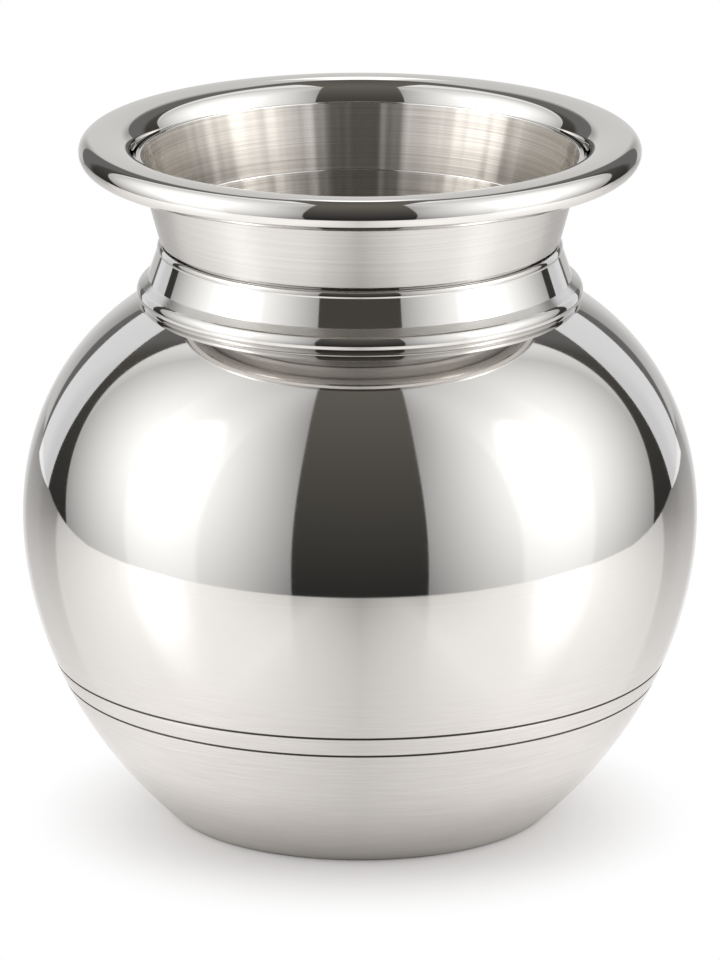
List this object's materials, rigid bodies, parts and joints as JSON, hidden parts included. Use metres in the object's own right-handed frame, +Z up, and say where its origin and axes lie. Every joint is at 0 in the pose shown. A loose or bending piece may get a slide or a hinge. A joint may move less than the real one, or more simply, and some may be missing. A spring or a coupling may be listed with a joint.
{
  "type": "ritual water pot",
  "caption": "Round-bellied stainless steel water pot with a ringed collar, flared neck and wide rolled rim, for holding and pouring water in rituals.",
  "frame": {"origin": "centre of the base, on the surface that the pot stands on", "axes": "+Z up along the pot's axis of turning; X and Y are alike, because the pot is round"},
  "size_m": [0.11, 0.11, 0.1132],
  "materials": {
    "bowl_steel": "mirror-polished stainless steel, with faint turning lines low down",
    "dome_steel": "mirror-polished stainless steel",
    "collar_steel": "mirror-polished stainless steel",
    "neck_steel": "satin stainless steel, brushed round the neck",
    "rim_steel": "mirror-polished stainless steel",
    "wire_steel": "drawn steel wire, hidden in the rolled edge"
  },
  "bodies": {
    "root": {"lower_bowl": "bowl_steel", "shoulder_dome": "dome_steel", "neck_collar": "collar_steel", "neck_funnel": "neck_steel", "mouth_rim": "rim_steel", "rim_wire": "wire_steel"}
  },
  "joints": []
}
